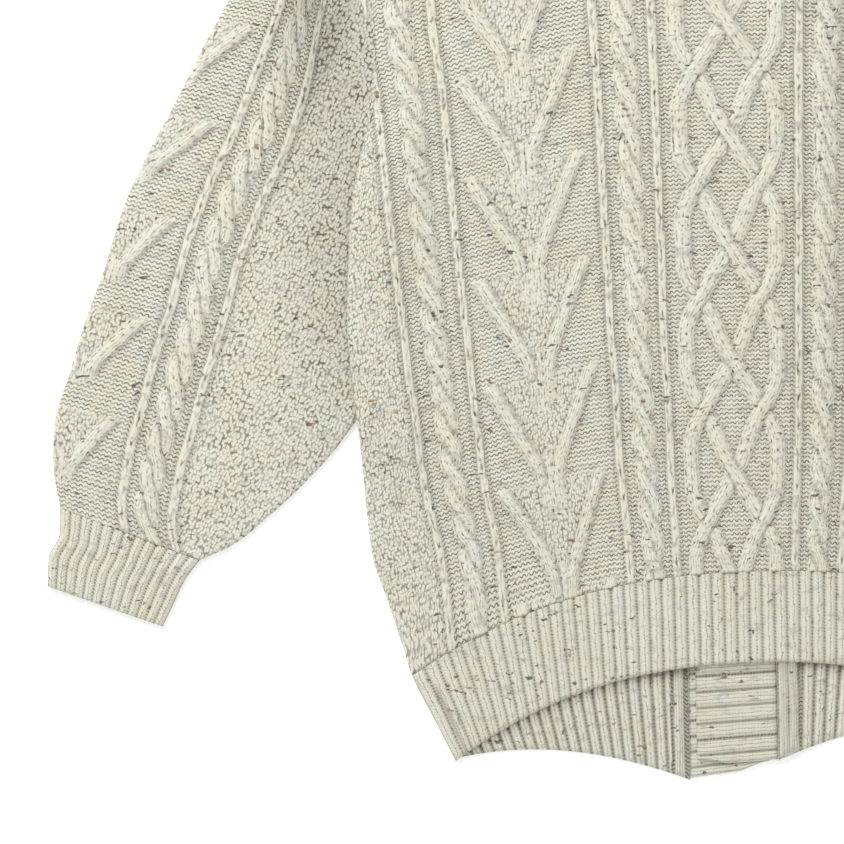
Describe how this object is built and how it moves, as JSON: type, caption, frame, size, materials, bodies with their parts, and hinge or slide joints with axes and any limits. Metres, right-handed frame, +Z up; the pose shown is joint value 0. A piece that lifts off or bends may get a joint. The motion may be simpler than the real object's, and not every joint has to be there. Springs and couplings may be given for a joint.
{
  "type": "cable knit cardigan",
  "caption": "Thick buttoned wool cardigan with cables, branch motifs and a ribbed hem, cuffs and bands, laid flat with its back up.",
  "frame": {"origin": "middle of the outline, on the surface that the garment lies on", "axes": "+X across to the wearer's right, +Y from hem to neck, +Z up from the surface, out of the back"},
  "size_m": [1.034, 0.8468, 0.0156],
  "materials": {
    "cable_knit": "oatmeal wool with dark flecks, cabled",
    "ribbing": "oatmeal wool with dark flecks, single rib",
    "buttons": "dark brown, satin"
  },
  "bodies": {
    "root": {"back": "cable_knit", "back_rib": "ribbing", "left_front": "cable_knit", "left_front_rib": "ribbing", "left_sleeve": "cable_knit", "left_cuff": "ribbing", "right_front": "cable_knit", "right_front_rib": "ribbing", "right_sleeve": "cable_knit", "right_cuff": "ribbing", "left_band": "ribbing", "right_band": "ribbing", "neck_band": "ribbing", "button_1": "buttons", "button_2": "buttons", "button_3": "buttons", "button_4": "buttons", "button_5": "buttons", "button_6": "buttons"}
  },
  "joints": []
}
